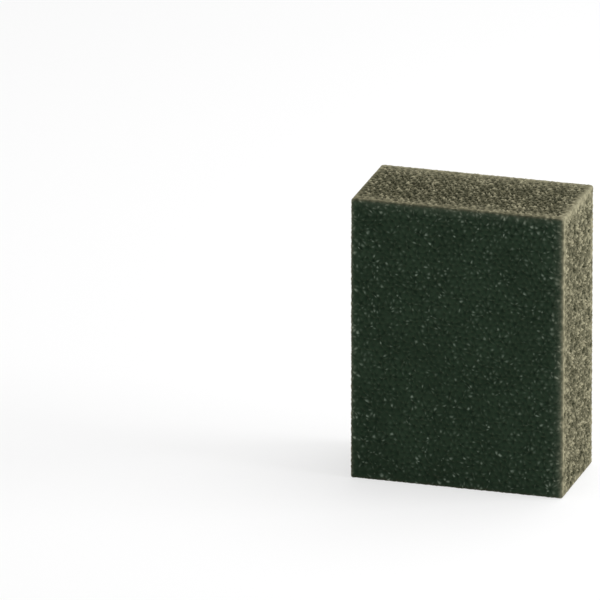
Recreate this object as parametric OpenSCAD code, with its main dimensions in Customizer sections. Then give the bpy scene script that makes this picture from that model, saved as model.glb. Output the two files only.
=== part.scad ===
// Cleaning sponge: one block of open-cell foam, cut square by a knife on all six sides.
// It stands on its short end, with a broad face to the front (-Y) and its height along +Z.
// The origin is the middle of the end that it stands on.

/* [Block] */
// Width of the broad face, along X
block_width = 76; // [50:1:100]
// Thickness from one broad face to the other, along Y
block_thickness = 38; // [20:1:50]
// Height of the broad face, along Z
block_height = 102; // [70:1:140]
// Radius of the soft edge that the knife leaves all round
edge_radius = 0.8; // [0.3:0.1:2.5]

/* [Open cells] */
// Radius of the widest mouths, where the knife cut a large bubble through its middle
widest_mouth = 1.1; // [0.8:0.05:1.3]
// Radius of the narrowest mouths that are modelled
narrowest_mouth = 0.6; // [0.4:0.05:0.75]
// Depth of the deepest open cells
deepest_cell = 1.6; // [0.9:0.1:2.5]
// Depth of the shallowest open cells
shallowest_cell = 0.7; // [0.3:0.1:0.8]
// Distance between two open cells of a row, middle to middle
cell_pitch = 6; // [6:0.5:12]
// Least foam left between two mouths, and between a mouth and a soft edge
least_web = 0.7; // [0.4:0.1:1.5]
// Pattern number: each one scatters the cells another way
pattern = 7; // [1:1:50]

/* [Hidden] */

foam_green = "#26372b";
edge_facets = 48;

// The fewest and the most walls round one cell of the foam
fewest_walls = 5;
most_walls = 7;
// How far in a corner of a mouth may lie, as a share of the mouth's radius
corner_stray = 0.35;
// How far each hollow's cutting shape stands out of the face, for a clean cut
cut_above = 0.3;

// The rows of cells are staggered, so they lie closer than the cells of one row
row_pitch = cell_pitch * sqrt(3) / 2;
// How far a cell may stray from its place and still keep clear of its neighbours
cell_stray = (row_pitch - 2 * widest_mouth - least_web) / 2;
// Nearest place of a cell's middle to the side of its face, before it strays
border = edge_radius + least_web + widest_mouth + cell_stray;

// The chance numbers of one cell: its two strays, its width and depth, how many walls it has,
// how they are turned, and one for each corner of its mouth
STRAY_X = 0;
STRAY_Y = 1;
WIDTH = 2;
DEPTH = 3;
WALLS = 4;
TURN = 5;
CORNERS = 6;
numbers_per_cell = CORNERS + most_walls;
// Seeds from one face's cells to the next face's, so that no two faces are alike
seeds_per_face = 50;

// The six cut faces: the two spans of each, its middle, and the turn that points outwards
// what is drawn on top of the XY plane
FACES = [
    [block_width, block_height, [0, -block_thickness / 2, block_height / 2], [90, 0, 0]],
    [block_width, block_height, [0, block_thickness / 2, block_height / 2], [90, 0, 180]],
    [block_thickness, block_height, [block_width / 2, 0, block_height / 2], [90, 0, 90]],
    [block_thickness, block_height, [-block_width / 2, 0, block_height / 2], [90, 0, -90]],
    [block_width, block_thickness, [0, 0, block_height], [0, 0, 0]],
    [block_width, block_thickness, [0, 0, 0], [180, 0, 0]],
];

// The value that lies this share of the way from low to high
function between(low, high, share) = low + (high - low) * share;

// A rectangle with round corners
module rounded_rectangle(width, height) {
    square([width - 2 * edge_radius, height], center = true);
    square([width, height - 2 * edge_radius], center = true);
    for (x = [-1, 1], y = [-1, 1])
        translate([x * (width / 2 - edge_radius), y * (height / 2 - edge_radius)])
            circle(r = edge_radius, $fn = edge_facets);
}

// A bar of that section, centred on the origin
module rounded_bar(width, height, length) {
    linear_extrude(height = length, center = true) rounded_rectangle(width, height);
}

// The block: where three bars meet, one along each axis, so that every edge is soft
module cut_block() {
    translate([0, 0, block_height / 2]) intersection() {
        rounded_bar(block_width, block_thickness, block_height);
        rotate([90, 0, 0]) rounded_bar(block_width, block_height, block_thickness);
        rotate([90, 0, 90]) rounded_bar(block_thickness, block_height, block_width);
    }
}

// The hollow of one cell that the knife cut open, under the XY plane. The bubbles of a foam
// press each other flat, so its mouth is an uneven polygon, whose walls lean in to the bottom.
module open_cell(chance) {
    radius = between(narrowest_mouth, widest_mouth, chance[WIDTH]);
    depth = between(shallowest_cell, deepest_cell, chance[DEPTH]);
    walls = round(between(fewest_walls, most_walls, chance[WALLS]));
    // The walls go on at the same slope above the face
    rim_radius = radius * (depth + cut_above) / depth;
    rim = [for (k = [0 : walls - 1])
        let (
            reach = rim_radius * (1 - corner_stray * chance[CORNERS + k]),
            angle = 360 * (k + chance[TURN]) / walls
        )
        [reach * cos(angle), reach * sin(angle), cut_above]
    ];
    bottom = [0, 0, -depth];
    lid = [for (k = [walls - 1 : -1 : 0]) k];
    sides = [for (k = [0 : walls - 1]) [k, (k + 1) % walls, walls]];
    polyhedron(points = concat(rim, [bottom]), faces = concat([lid], sides));
}

// The open cells of one face, in staggered rows over the XY plane. Each strays from its place
// by chance.
module face_cells(width, height, seed) {
    columns = floor((width - 2 * border) / cell_pitch) + 1;
    rows = floor((height - 2 * border) / row_pitch) + 1;
    numbers = rands(0, 1, columns * rows * numbers_per_cell, seed);
    for (row = [0 : 1 : rows - 1]) {
        // Every other row starts half a pitch in, so it holds one cell fewer
        row_columns = columns - row % 2;
        for (column = [0 : 1 : row_columns - 1]) {
            first = (row * columns + column) * numbers_per_cell;
            chance = [for (k = [0 : numbers_per_cell - 1]) numbers[first + k]];
            x = (column - (row_columns - 1) / 2) * cell_pitch;
            y = (row - (rows - 1) / 2) * row_pitch;
            stray_x = between(-cell_stray, cell_stray, chance[STRAY_X]);
            stray_y = between(-cell_stray, cell_stray, chance[STRAY_Y]);
            translate([x + stray_x, y + stray_y, 0]) open_cell(chance);
        }
    }
}

module sponge() {
    color(foam_green) difference() {
        cut_block();
        for (i = [0 : len(FACES) - 1])
            translate(FACES[i][2]) rotate(FACES[i][3])
                face_cells(FACES[i][0], FACES[i][1], pattern + seeds_per_face * i);
    }
}

sponge();
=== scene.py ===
import bpy
import numpy as np
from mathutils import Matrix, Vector
from mathutils.geometry import delaunay_2d_cdt


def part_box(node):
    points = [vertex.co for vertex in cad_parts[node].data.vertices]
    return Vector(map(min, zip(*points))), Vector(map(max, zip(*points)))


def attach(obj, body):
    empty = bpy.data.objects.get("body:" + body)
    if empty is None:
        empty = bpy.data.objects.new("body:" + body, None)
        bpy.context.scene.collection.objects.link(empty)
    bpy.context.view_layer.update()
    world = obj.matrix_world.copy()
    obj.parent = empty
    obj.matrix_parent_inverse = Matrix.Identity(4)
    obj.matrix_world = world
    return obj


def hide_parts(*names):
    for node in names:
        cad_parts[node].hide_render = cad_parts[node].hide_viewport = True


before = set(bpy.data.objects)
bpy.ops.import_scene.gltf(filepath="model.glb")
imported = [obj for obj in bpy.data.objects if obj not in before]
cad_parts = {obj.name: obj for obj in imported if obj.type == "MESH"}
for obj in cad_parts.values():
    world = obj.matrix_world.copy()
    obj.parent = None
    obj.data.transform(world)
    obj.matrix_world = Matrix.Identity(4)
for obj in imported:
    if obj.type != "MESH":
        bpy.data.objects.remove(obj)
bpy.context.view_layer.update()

# The sponge
# One block of open-cell polyurethane foam, cut square on all six sides by a band knife. The knife
# slices thousands of bubbles open: each leaves a bowl, and where three bubbles met, the stump of
# a strut stands up. Some stumps are torn long and pale with fraying, and the cut edges are worn
# pale. Painted light lies over this: each kind of face has a lit or shaded tone, the edges that
# face the lamps have the palest fringe, and painted shade darkens the bubbles' middles.
low, high = (np.array(corner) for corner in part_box("sponge"))
block_middle = (low + high) / 2
block_half = (high - low) / 2
soft_edge = 0.0008           # radius along the cut edges

# The net of bubbles, in metres as all lengths are
bubble_width = 0.00230       # from one bubble's middle to the next, on average
bubble_scatter = 0.34        # how far a bubble strays from its place, as a share of its width
bubble_margin = 0.55         # how far a face's inner bubbles stay from its edges, in such widths
foam_seed = 20               # sets what chance gives the bubbles, bowls and stumps
face_seed = 7                # keeps the chances of a face apart from those of an edge
nearest_points = 1e-9        # how close two of a face's points can be before they count as one
steps_per_metre = 1e7        # how finely the points that faces share are told apart

# The bowls and struts. Two numbers are the least and the most that chance gives. Three are for
# the faces square to x, y and z: the narrow sides, the broad faces and the two ends.
bowl_share = (0.28, 0.60)           # depth of a bowl, as a share of its own radius
bowl_depth = (1.5, 1.0, 1.7)        # how many times as deep it is on each kind of face
wall_place = (0.40, 0.60)           # where a wall is lowest, on the way from bubble to bubble
wall_drop = (0.0, 0.00020)          # how far it lies under the face there
shoulder_place = (0.42, 0.62)       # where a bowl's shoulder is, on the way from bubble to stump
shoulder_drop = (0.00006, 0.00026)  # how far it lies under the face
stump_pull = (0.7, 1.3)             # how strongly each of its three bubbles draws a stump
short_stump = (-0.00004, 0.00016)   # where the struts end that the knife cut clean
long_stump = (0.00030, 0.00085)     # where those end that it pulled out before they tore
long_share = (0.50, 0.26, 0.54)     # share of the struts that are long
long_height = (1.1, 0.55, 1.0)      # how many times as high those stand on each kind of face
stump_lean = (0.35, 0.10, 0.35)     # how far the long ones lean over
lean_radius = 0.003                 # how far from an edge all starts to lean out towards it
edge_rise = 0.00003                 # how high a stump may stand right on an edge
stump_slope = 0.11                  # how much higher it may, for each metre further in
edge_depth = 0.04                   # share of its depth that a hollow has right on an edge
depth_reach = 0.004                 # the way in from there over which that share grows by 1

# How pale the foam frays, from 0 for none to about 1 for all, with painted light that makes each
# kind of face paler or darker. Three numbers are as above.
long_pale = (0.35, 0.70)            # on a long stump: the least, and how much its wear adds
short_pale = (0.10, 0.55)           # the same on a short one, by its wear squared
tip_gain = (0.78, 0.90, 0.96)       # how many times as pale all stumps are on each kind of face
rim_gain = (0.0, 0.25, 0.0)         # how much paler still they are near the face's rim
rim_width = 0.008                   # how far in from an edge that reaches
ridge_share = (0.26, 0.20, 0.36)    # how much of a stump's paleness runs on along the walls
shoulder_share = (0.06, 0.20, 0.18) # how much runs down its shoulders
painted_face_light = (0.17, 0.0, -0.05)      # painted light: how much paler all of a face is, as the light falls on it
fringe_cover = 1.6                  # how fast the pale fringe of wear and painted light takes over from the stumps in it
least_tip = 0.2                     # share of their own paleness that they always keep

# How pale the fringe is on each kind of face, one to a row, along its edges to the left,
# right, front, back, bottom and top. It is wear and painted light: palest on the edges that face
# the lamps, and faint or none along the bottom. Then how far in from the edge it is palest, and
# how wide it is: the rows of both are in millimetres.
fringe_wear_and_light = np.array([[0.00, 0.00, 0.34, 0.38, 0.04, 0.46],
                        [0.30, 0.38, 0.00, 0.00, 0.06, 0.25],
                        [0.06, 0.50, 0.42, 0.56, 0.00, 0.00]])
fringe_inset = np.array([[0.0, 0.0, 1.8, 0.0, 0.0, 0.0],
                         [0.0, 0.0, 0.0, 0.0, 0.0, 0.0],
                         [0.0, 0.0, 3.3, 0.0, 0.0, 0.0]]) / 1000
fringe_width = np.array([[1.0, 1.0, 2.0, 2.0, 1.0, 3.0],
                         [0.9, 1.9, 1.0, 1.0, 1.0, 1.9],
                         [1.0, 3.0, 2.6, 6.0, 1.0, 1.0]]) / 1000

# The foam's colours: the green of the broad faces, which drifts between two shades, the brownish
# tone of the others, and the frost of foam that frays. The others' brownish tone and warm frost
# are painted light, a lit copy of the broad faces' green and cool frost, and the colours for the
# bubbles' middles are darker with painted shade.
deep_green = (0.0056, 0.0196, 0.0092)
light_green = (0.0098, 0.0268, 0.0136)
# painted shade: darker green for the bubbles' middles, where shade falls in the bowls
hollow_shade_green = (0.0052, 0.0166, 0.0082)
# painted light: a lit, brownish tone for the faces that are not broad; the next is darker still
# with painted shade at the bubbles' middles
lit_olive = (0.0205, 0.0235, 0.0115)
lit_olive_hollow_shade = (0.0120, 0.0145, 0.0068)
# painted light: warm frost for the lit faces and the fringe, cool frost for the broad faces in
# shade
lit_warm_frost = (0.256, 0.242, 0.160)
shaded_cool_frost = (0.190, 0.242, 0.190)
fringe_light_warmth = 3.0          # painted light: how fast the frost of a broad face turns warm in its fringe

# The foam's patterns of noise, each with its waves to the metre and its levels of finer waves
grit = (1500, 3)
clump = (600, 2)
cluster = (320, 1)
patch = (90, 2)
patch_range = (0.3, 0.7)     # of the patches, from deep green to light green
cluster_gain = 3.8           # how much clusters make stumps paler or darker together
grit_gain = 0.20             # how much grit does that speck by speck
clump_gain = 1.6             # how ragged clumps make the fringe
broad_face_shade = 0.49            # painted shade: how much less the stumps of the broad faces show
pale_range = (0.02, 0.85)    # how pale foam is where frost starts to show, and where it is full


def edge_bubbles(along, signs):
    """Places of the bubbles' middles along one edge of the block: evenly spaced, then each moved
    by chance. Both faces that share the edge get the same places, from the same seed."""
    count = int(round(2 * block_half[along] / bubble_width))
    chance = np.random.default_rng([foam_seed, *(signs + 1)])
    steps = np.arange(1, count) + chance.uniform(-bubble_scatter, bubble_scatter, count - 1)
    return (2 * steps / count - 1) * block_half[along]


def face_bubbles(across, side):
    """Middles of the bubbles that one cut face opens, as points of the block's surface, and the
    triangles of neighbours between them: staggered rows, each point moved by chance, closed by
    the points of the four edges and corners, and joined by Delaunay's rule."""
    u, v = (across + 1) % 3, (across + 2) % 3
    if side < 0:
        u, v = v, u
    half = block_half[[u, v]]
    row_step = bubble_width * np.sqrt(3) / 2
    rows = int(2 * half[1] / row_step)
    columns = int(2 * half[0] / bubble_width) + 1
    row, column = np.mgrid[0:rows, 0:columns]
    stagger = (row % 2 - 0.5) / 2
    x = (column - (columns - 1) / 2 + stagger) * bubble_width
    y = (row - (rows - 1) / 2) * row_step
    inner = np.stack([x.ravel(), y.ravel()], axis=1)
    chance = np.random.default_rng([foam_seed, across, side + 1, face_seed])
    inner += chance.uniform(-bubble_scatter, bubble_scatter, inner.shape) * bubble_width
    inner = inner[np.all(np.abs(inner) < half - bubble_margin * bubble_width, axis=1)]
    flat = [inner, half * np.array([[-1, -1], [1, -1], [1, 1], [-1, 1]])]
    for along, other, slot in ((u, v, 0), (v, u, 1)):
        for end in (-1, 1):
            signs = np.zeros(3, int)
            signs[across], signs[other] = side, end
            places = edge_bubbles(along, signs)
            line = np.full((len(places), 2), end * half[1 - slot])
            line[:, slot] = places
            flat.append(line)
    flat = np.concatenate(flat)
    joined = delaunay_2d_cdt([Vector(p) for p in flat], [], [], 0, nearest_points)
    order = np.array([ids[0] for ids in joined[3]])
    triangles = order[np.array(joined[2])]
    a, b, c = flat[triangles[:, 0]], flat[triangles[:, 1]], flat[triangles[:, 2]]
    turned = np.cross(b - a, c - a) < 0
    triangles[turned] = triangles[turned][:, ::-1]
    points = np.empty((len(flat), 3))
    points[:, across] = side * block_half[across]
    points[:, [u, v]] = flat
    return points, triangles


def bubble_net():
    """The bubbles' middles over the whole block and the triangles of neighbours, with the points
    that two or three faces share made one."""
    points, triangles, first = [], [], 0
    for across in range(3):
        for side in (-1, 1):
            face_points, face_triangles = face_bubbles(across, side)
            points.append(face_points)
            triangles.append(face_triangles + first)
            first += len(face_points)
    points, triangles = np.concatenate(points), np.concatenate(triangles)
    key = np.round(points * steps_per_metre).astype(np.int64)
    _, kept, merged = np.unique(key, axis=0, return_index=True, return_inverse=True)
    return points[kept], merged.reshape(-1)[triangles]


def skin_points(middles, net, chance):
    """The skin's other points on the sharp block: a stump in each triangle of neighbours, at the
    mean of its corners weighted by chance; the lowest point of a wall, near the middle of each
    side; and for each corner of each triangle a shoulder, part of the way from bubble to stump.
    The last result says which wall each side of each triangle has."""
    shape = (len(net), 3, 1)
    weights = chance.uniform(*stump_pull, shape)
    stumps = (middles[net] * weights).sum(axis=1) / weights.sum(axis=1)
    spokes = stumps[:, None, :] - middles[net]
    shoulders = middles[net] + chance.uniform(*shoulder_place, shape) * spokes
    sides = np.stack([net, np.roll(net, -1, axis=1)], axis=2).reshape(-1, 2)
    ends, side_wall = np.unique(np.sort(sides, axis=1), axis=0, return_inverse=True)
    share = chance.uniform(*wall_place, (len(ends), 1))
    walls = share * middles[ends[:, 0]] + (1 - share) * middles[ends[:, 1]]
    return stumps, walls, shoulders.reshape(-1, 3), side_wall.reshape(-1)


def skin_triangles(net, side_wall, first_stump, first_wall, first_shoulder):
    """Four triangles round each shoulder, which is the last corner of each. Their other corners
    go round from the bubble's middle to the wall after it, the stump, the wall before it and
    back to the middle."""
    middle = net.ravel()
    stump = first_stump + np.repeat(np.arange(len(net)), 3)
    after = first_wall + side_wall
    before = np.roll(after.reshape(-1, 3), 1, axis=1).ravel()
    shoulder = first_shoulder + np.arange(net.size)
    ring = (middle, after, stump, before, middle)
    return np.concatenate([np.stack([start, end, shoulder], axis=1)
                           for start, end in zip(ring, ring[1:])])


def lean(points, radius):
    """For each point of the sharp block, the nearest point of the block shrunk by radius, and the
    unit direction from that to the point: square to a face, and from radius away from an edge
    leaning out more and more towards it."""
    core = np.clip(points, radius - block_half, block_half - radius)
    out = points - core
    return core, out / np.linalg.norm(out, axis=1, keepdims=True)


def worn_and_lit_fringe(points, facing):
    """How pale wear and painted light have made each point of the sharp block: the edges that
    face the lamps get the palest fringe. On a face, the gain of each edge falls off exponentially
    to both sides of where it is palest, and the strongest counts. A point that faces two or three
    ways has its share of each face's."""
    gaps = np.stack([block_half + points, block_half - points], axis=2).reshape(-1, 1, 6)
    fringe = fringe_wear_and_light * np.exp(-np.abs(gaps - fringe_inset) / fringe_width)
    return (facing * fringe.max(axis=2)).sum(axis=1)


def make_foam():
    """The skin of bowls and struts. Its points go on the block with soft edges, and then in or
    out along their own directions: bubbles' middles deepest, walls and shoulders a little, stumps
    by chance, and all less near the edges. What would reach under the floor is pressed flat on
    it. Each point keeps how pale its fraying is, with painted light for each kind of face;
    whether it is a bubble's middle, which takes painted shade; how pale its edge is, from wear
    and from painted light on the edges that face the lamps; and how squarely it lies on a broad
    face, which is the y of its direction, squared."""
    middles, net = bubble_net()
    chance = np.random.default_rng(foam_seed)
    stumps, walls, shoulders, side_wall = skin_points(middles, net, chance)
    kinds = (middles, stumps, walls, shoulders)
    firsts = np.cumsum([0] + [len(points) for points in kinds])
    at_middle, at_stump, at_wall, at_shoulder = map(slice, firsts, firsts[1:])
    sharp = np.concatenate(kinds)
    core, out = lean(sharp, soft_edge)
    _, direction = lean(sharp, lean_radius)
    # How squarely each point faces along x, y and z, and how far it is from the nearest edge
    facing = out ** 2
    edge_gap = np.sort(block_half - np.abs(sharp), axis=1)[:, 1]

    # How far each point stands out of its face, or lies under it
    reach = np.linalg.norm(stumps[:, None, :] - middles[net], axis=2).ravel()
    radius = np.bincount(net.ravel(), reach) / np.bincount(net.ravel())
    long = chance.random(len(stumps)) < facing[at_stump] @ long_share
    tall = chance.uniform(*long_stump, len(stumps)) * (facing[at_stump] @ long_height)
    rise = np.where(long, tall, chance.uniform(*short_stump, len(stumps)))
    height = np.concatenate([
        -radius * chance.uniform(*bowl_share, len(middles)) * (facing[at_middle] @ bowl_depth),
        np.minimum(rise, edge_rise + stump_slope * edge_gap[at_stump]),
        -chance.uniform(*wall_drop, len(walls)),
        -chance.uniform(*shoulder_drop, len(shoulders)),
    ])
    sunk = np.clip(edge_depth + edge_gap / depth_reach, 0, 1)
    height = np.where(height < 0, height * sunk, height)
    leaning = long * (facing[at_stump] @ stump_lean)
    direction[at_stump] += chance.uniform(-1, 1, stumps.shape) * leaning[:, None]
    places = core + soft_edge * out + direction * height[:, None] + block_middle
    places[:, 2] = np.maximum(places[:, 2], low[2])

    # How pale it is there
    # pale fringe: wear, and painted light on the edges that face the lamps
    edge_fray_and_light = worn_and_lit_fringe(sharp, facing)
    wear = chance.uniform(0, 1, len(stumps))
    tips = np.where(long, long_pale[0] + long_pale[1] * wear,
                    short_pale[0] + short_pale[1] * wear ** 2)
    tips *= facing[at_stump] @ tip_gain
    tips *= 1 + facing[at_stump] @ rim_gain * np.exp(-(edge_gap[at_stump] / rim_width) ** 2)
    tips *= np.clip(1 - fringe_cover * edge_fray_and_light[at_stump], least_tip, 1)
    ridges = np.bincount(side_wall, np.repeat(tips, 3)) / 2 * (facing[at_wall] @ ridge_share)
    slopes = np.repeat(tips, 3) * (facing[at_shoulder] @ shoulder_share)
    # painted light: each kind of face is made paler or darker as the light falls on it
    frayed_and_face_light = np.concatenate([np.zeros(len(middles)), tips, ridges, slopes]) + facing @ painted_face_light
    hollow = np.zeros(len(places))
    hollow[at_middle] = 1

    mesh = bpy.data.meshes.new("foam_block")
    triangles = skin_triangles(net, side_wall, *firsts[1:4])
    mesh.from_pydata(places, [], triangles.tolist())
    mesh.shade_smooth()
    kept = {"frayed_and_face_light": frayed_and_face_light, "hollow": hollow, "edge_fray_and_light": edge_fray_and_light, "broad": facing[:, 1]}
    for name, values in kept.items():
        layer = mesh.attributes.new(name, "FLOAT", "POINT")
        layer.data.foreach_set("value", values.astype(np.float32))
    block = bpy.data.objects.new("foam_block", mesh)
    bpy.context.scene.collection.objects.link(block)
    return block


def foam_material():
    """Dark green foam. Its paleness is how much it frays, with painted light for each kind of
    face, raised or lowered by clusters and grit, plus the pale fringe of wear and painted light,
    made ragged by clumps. By its paleness it goes from green on the broad faces and a warmer
    brownish tone on the others, both darker with painted shade in the hollows, to frost, which is
    cool on the broad faces, and warm on the others and in the fringe. The brownish tone and the
    warm frost are painted light, a lit copy of the broad faces' green and cool frost."""
    material = bpy.data.materials.new("dark_green_foam")
    material.use_nodes = True
    nodes, links = material.node_tree.nodes, material.node_tree.links
    shader = nodes["Principled BSDF"]
    place = nodes.new("ShaderNodeTexCoord").outputs["Object"]

    def attribute(name):
        node = nodes.new("ShaderNodeAttribute")
        node.attribute_name = name
        return node.outputs["Fac"]

    def noise(scale, detail):
        node = nodes.new("ShaderNodeTexNoise")
        links.new(place, node.inputs["Vector"])
        node.inputs["Scale"].default_value = scale
        node.inputs["Detail"].default_value = detail
        return node.outputs["Fac"]

    def math(kind, first, second=None, third=None):
        node = nodes.new("ShaderNodeMath")
        node.operation = kind
        for socket, value in zip(node.inputs, (first, second, third)):
            if value is None:
                continue
            if isinstance(value, (int, float)):
                socket.default_value = value
            else:
                links.new(value, socket)
        return node.outputs[0]

    def swing(pattern, gain, around=1.0):
        """The value around, plus gain times how far the pattern is over its own middle."""
        return math("MULTIPLY_ADD", math("SUBTRACT", pattern, 0.5), gain, around)

    def smooth_step(value, start, end):
        node = nodes.new("ShaderNodeMapRange")
        node.interpolation_type = "SMOOTHSTEP"
        links.new(value, node.inputs["Value"])
        node.inputs["From Min"].default_value = start
        node.inputs["From Max"].default_value = end
        return node.outputs["Result"]

    def mix(share, first, second):
        node = nodes.new("ShaderNodeMix")
        node.data_type = "RGBA"
        links.new(share, node.inputs["Factor"])
        for socket, value in ((node.inputs["A"], first), (node.inputs["B"], second)):
            if isinstance(value, tuple):
                socket.default_value = (*value, 1)
            else:
                links.new(value, socket)
        return node.outputs["Result"]

    broad, edge_fray_and_light, hollow = attribute("broad"), attribute("edge_fray_and_light"), attribute("hollow")
    grains = noise(*grit)
    # painted shade: the stumps of the broad faces are kept less pale
    tips = math("MULTIPLY", attribute("frayed_and_face_light"), math("MULTIPLY_ADD", broad, -broad_face_shade, 1.0))
    tips = math("MULTIPLY", tips, swing(noise(*cluster), cluster_gain))
    tips = swing(grains, grit_gain, tips)
    ragged = swing(noise(*clump), clump_gain)
    # the pale fringe, from wear and painted light, joins the stumps' paleness here
    pale = smooth_step(math("MULTIPLY_ADD", edge_fray_and_light, ragged, tips), *pale_range)

    green = mix(smooth_step(noise(*patch), *patch_range), deep_green, light_green)
    # painted shade: darker at the bubbles' middles, where shade falls in the bowls
    green = mix(hollow, green, hollow_shade_green)
    # painted light: the other faces take the lit brownish tone and warm frost, the broad faces
    # green and cool frost, and the fringe turns warm as if lit
    dark = mix(broad, mix(hollow, lit_olive, lit_olive_hollow_shade), green)
    cool = math("SUBTRACT", broad, math("MULTIPLY", edge_fray_and_light, fringe_light_warmth))
    frost = mix(math("MAXIMUM", cool, 0.0), lit_warm_frost, shaded_cool_frost)
    links.new(mix(pale, dark, frost), shader.inputs["Base Color"])
    shader.inputs["Roughness"].default_value = 0.9
    shader.inputs["Specular IOR Level"].default_value = 0.15
    shader.inputs["Sheen Weight"].default_value = 0.30
    shader.inputs["Sheen Roughness"].default_value = 0.5
    shader.inputs["Sheen Tint"].default_value = (0.85, 0.75, 0.45, 1)
    bump = nodes.new("ShaderNodeBump")
    links.new(grains, bump.inputs["Height"])
    bump.inputs["Distance"].default_value = 0.0002
    bump.inputs["Strength"].default_value = 0.2
    links.new(bump.outputs["Normal"], shader.inputs["Normal"])
    return material


foam = make_foam()
foam.data.materials.append(foam_material())
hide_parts("sponge")
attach(foam, "root")

# The floor
# A plain white table, wide enough to fill the view. The camera sees it as white paper, and the
# sponge's own soft shadow stays on it.
floor_half = 9.0
floor_white = (0.88, 0.88, 0.88)
shadow_fade = 0.6            # share of plain white in what the camera sees of the floor


def seen_plainly(nodes, links):
    """1 on the rays that come from the camera, straight or by a mirror or glass, and else 0."""
    path = nodes.new("ShaderNodeLightPath")
    total = path.outputs["Is Camera Ray"]
    for ray in ("Is Glossy Ray", "Is Transmission Ray"):
        larger = nodes.new("ShaderNodeMath")
        larger.operation = "MAXIMUM"
        links.new(total, larger.inputs[0])
        links.new(path.outputs[ray], larger.inputs[1])
        total = larger.outputs[0]
    return total


floor_mesh = bpy.data.meshes.new("floor")
floor_turns = np.array([[-1, -1], [1, -1], [1, 1], [-1, 1]])
floor_corners = np.column_stack([floor_turns * floor_half, np.full(4, low[2])])
floor_mesh.from_pydata(floor_corners, [], [(0, 1, 2, 3)])
floor = bpy.data.objects.new("floor", floor_mesh)
bpy.context.scene.collection.objects.link(floor)
paper = bpy.data.materials.new("white_paper")
paper.use_nodes = True
paper_nodes, paper_links = paper.node_tree.nodes, paper.node_tree.links
paper_nodes["Principled BSDF"].inputs["Base Color"].default_value = (*floor_white, 1)
paper_nodes["Principled BSDF"].inputs["Roughness"].default_value = 1.0
paper_glow = paper_nodes.new("ShaderNodeEmission")
paper_share = paper_nodes.new("ShaderNodeMath")
paper_share.operation = "MULTIPLY"
paper_share.inputs[1].default_value = shadow_fade
paper_mix = paper_nodes.new("ShaderNodeMixShader")
paper_links.new(seen_plainly(paper_nodes, paper_links), paper_share.inputs[0])
paper_links.new(paper_share.outputs[0], paper_mix.inputs[0])
paper_links.new(paper_nodes["Principled BSDF"].outputs[0], paper_mix.inputs[1])
paper_links.new(paper_glow.outputs[0], paper_mix.inputs[2])
paper_links.new(paper_mix.outputs[0], paper_nodes["Material Output"].inputs["Surface"])
floor_mesh.materials.append(paper)

# The light
# Even light from the air all round, and three square lamps with soft fronts: one high up behind
# the block, one to its right and a weak one in front. The camera sees the air as plain white.
air_light = 0.55             # strength of the air as a light
air_white = 1.0              # strength of the air as the camera sees it
world = bpy.data.worlds.new("studio")
bpy.context.scene.world = world
world.use_nodes = True
air = world.node_tree.nodes["Background"]
air.inputs["Color"].default_value = (1, 1, 1, 1)
air_strength = world.node_tree.nodes.new("ShaderNodeMapRange")
air_strength.inputs["To Min"].default_value = air_light
air_strength.inputs["To Max"].default_value = air_white
air_seen = seen_plainly(world.node_tree.nodes, world.node_tree.links)
world.node_tree.links.new(air_seen, air_strength.inputs["Value"])
world.node_tree.links.new(air_strength.outputs["Result"], air.inputs["Strength"])


def softbox(name, place, width, power):
    """A square lamp at place that faces the middle of the block."""
    lamp = bpy.data.lights.new(name, "AREA")
    lamp.size = width
    lamp.energy = power
    holder = bpy.data.objects.new(name, lamp)
    holder.location = place
    aim = Vector(block_middle) - Vector(place)
    holder.rotation_euler = aim.to_track_quat("-Z", "Y").to_euler()
    bpy.context.scene.collection.objects.link(holder)


softbox("top_softbox", (0.15, 0.35, 0.9), 0.7, 4)
softbox("right_softbox", (0.9, 0.1, 0.45), 0.6, 8.5)
softbox("front_softbox", (-0.6, -1.3, 0.35), 1.0, 2.5)

# The camera
# It looks down on the block from the front and right, from far off, so that upright edges stay
# upright. The angles and distances come from fitting the block's corners to the photograph.
view_azimuth = np.radians(16.5)
view_elevation = np.radians(19.7)
view_distance = 6.89         # from the block's middle, in metres
aim_right, aim_up = -0.0592, 0.0108    # how far the camera then moves to its right and up
focal_pixels = 20000         # its focal length, in pixels of the photograph
image_pixels = 600           # the photograph's width
sensor_millimetres = 36
furthest_seen = 50
camera_data = bpy.data.cameras.new("camera")
camera_data.sensor_width = sensor_millimetres
camera_data.lens = focal_pixels / image_pixels * sensor_millimetres
camera_data.clip_end = furthest_seen
camera = bpy.data.objects.new("camera", camera_data)
forward = Vector((-np.sin(view_azimuth) * np.cos(view_elevation),
                  np.cos(view_azimuth) * np.cos(view_elevation),
                  -np.sin(view_elevation)))
rightward = Vector((np.cos(view_azimuth), np.sin(view_azimuth), 0))
upward = rightward.cross(forward)
camera.location = (Vector(block_middle) - forward * view_distance
                   + rightward * aim_right + upward * aim_up)
camera.rotation_euler = forward.to_track_quat("-Z", "Y").to_euler()
bpy.context.scene.collection.objects.link(camera)
bpy.context.scene.camera = camera
bpy.context.scene.view_settings.view_transform = "Standard"
